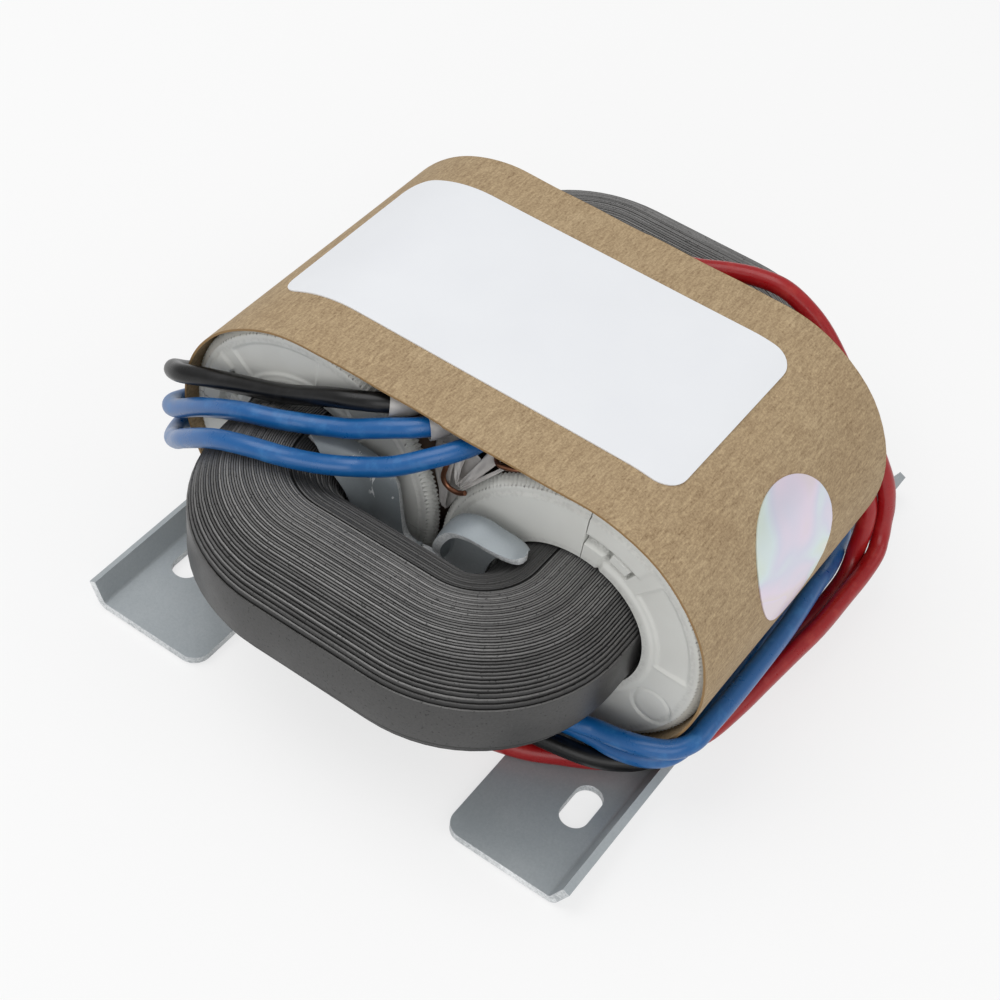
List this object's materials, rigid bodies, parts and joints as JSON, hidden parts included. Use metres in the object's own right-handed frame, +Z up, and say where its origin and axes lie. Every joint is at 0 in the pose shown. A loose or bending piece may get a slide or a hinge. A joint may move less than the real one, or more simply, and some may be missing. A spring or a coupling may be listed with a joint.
{
  "type": "r-core transformer",
  "caption": "Mains transformer with a round-section wound ring core, a paper-wrapped coil on each leg, a slotted sheet-steel base and flexible leads laid round the body.",
  "frame": {"origin": "middle of the four mounting slots, on the underside of the base", "axes": "+X along the core's legs, from the front with the secondary leads to the back; +Y to the left seen from the front; +Z up"},
  "size_m": [0.0842, 0.0791, 0.0374],
  "materials": {
    "core_steel": "varnished strip, dark grey satin",
    "bracket_paint": "grey satin with bright sheared edges",
    "bobbin_plastic": "moulded off-white, satin",
    "magnet_wire": "enamelled copper",
    "interlayer_film": "yellow film",
    "outer_tape": "brown film",
    "kraft_paper": "kraft paper with a fibrous face",
    "label_paper": "smooth white, blank",
    "sticker_foil": "pearl foil, blank",
    "sleeve_film": "milky film",
    "black_insulation": "soft gloss",
    "blue_insulation": "soft gloss",
    "red_insulation": "soft gloss"
  },
  "bodies": {
    "root": {"core": "core_steel", "base_bracket": "bracket_paint", "right_bobbin_outer_half": "bobbin_plastic", "right_bobbin_inner_half": "bobbin_plastic", "left_bobbin_upper_half": "bobbin_plastic", "left_bobbin_lower_half": "bobbin_plastic", "right_primary_winding": "magnet_wire", "left_primary_winding": "magnet_wire", "right_interlayer_tape": "interlayer_film", "left_interlayer_tape": "interlayer_film", "right_secondary_winding": "magnet_wire", "left_secondary_winding": "magnet_wire", "right_outer_tape": "outer_tape", "left_outer_tape": "outer_tape", "kraft_wrap": "kraft_paper", "rating_label": "label_paper", "round_sticker": "sticker_foil", "secondary_joint_sleeves": "sleeve_film", "primary_joint_sleeves": "sleeve_film", "black_lead": "black_insulation", "blue_lead_1": "blue_insulation", "blue_lead_2": "blue_insulation", "red_lead_1": "red_insulation", "red_lead_2": "red_insulation"}
  },
  "joints": []
}
